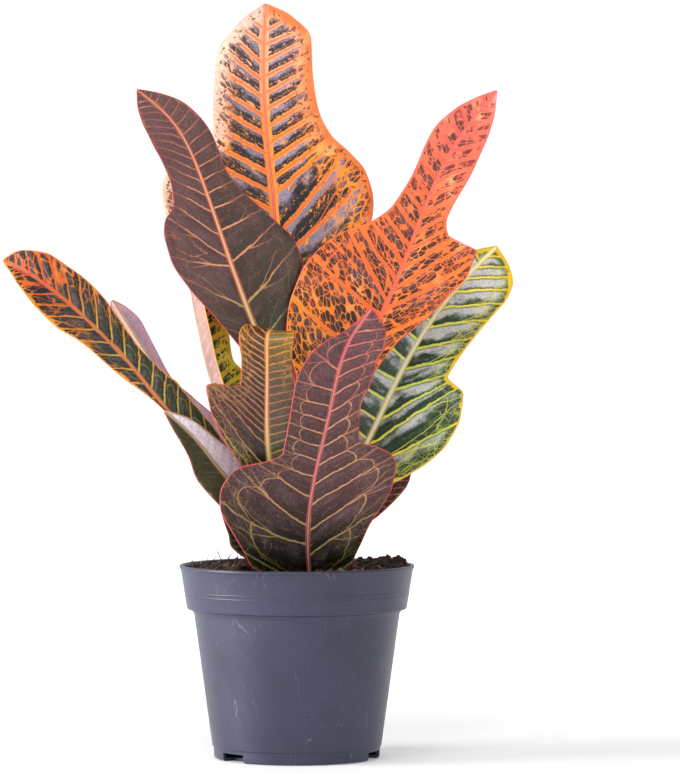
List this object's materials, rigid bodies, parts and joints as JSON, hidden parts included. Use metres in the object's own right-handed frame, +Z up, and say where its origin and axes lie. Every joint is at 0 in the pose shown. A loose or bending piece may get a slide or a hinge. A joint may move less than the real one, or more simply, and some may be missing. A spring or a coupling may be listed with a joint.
{
  "type": "potted croton",
  "caption": "Young croton with broad lobed leaves in purple, orange, red and green-yellow, upright in a round slate-coloured nursery pot filled with soil.",
  "frame": {"origin": "middle of the pot's underside, on the pot's axis", "axes": "+Z up along the pot's axis, -Y towards the front, where the dark front leaf stands, +X to the right seen from the front"},
  "size_m": [0.2605, 0.1364, 0.3891],
  "materials": {
    "leaf_orange": "waxy leaf, orange veins over dark green blotches",
    "leaf_red": "waxy leaf, coral red to orange with small dark blotches",
    "leaf_purple": "waxy leaf, dark purple-brown with salmon and yellow veins",
    "leaf_green_orange": "waxy leaf, dark green with orange and yellow veins, pale underside",
    "leaf_green_yellow": "waxy leaf, dark green with lime-yellow veins and margin",
    "pot_plastic": "satin moulded polypropylene, slate blue-grey",
    "soil": "crumbly dark peat with bark fibres",
    "stem_bark": "grey-green young bark with leaf scars"
  },
  "bodies": {
    "root": {"leaf_top_back": "leaf_orange", "leaf_upper_left": "leaf_purple", "leaf_upper_right": "leaf_red", "leaf_front": "leaf_purple", "leaf_front_small": "leaf_purple", "leaf_left_long": "leaf_green_orange", "leaf_left_low": "leaf_green_orange", "leaf_left_behind": "leaf_green_orange", "leaf_back_left": "leaf_green_orange", "leaf_right": "leaf_green_yellow", "leaf_low_left": "leaf_green_yellow", "leaf_low_right": "leaf_purple", "leaf_back_right": "leaf_green_yellow", "leaf_back_low": "leaf_purple", "pot": "pot_plastic", "potting_soil": "soil", "stem": "stem_bark"}
  },
  "joints": []
}
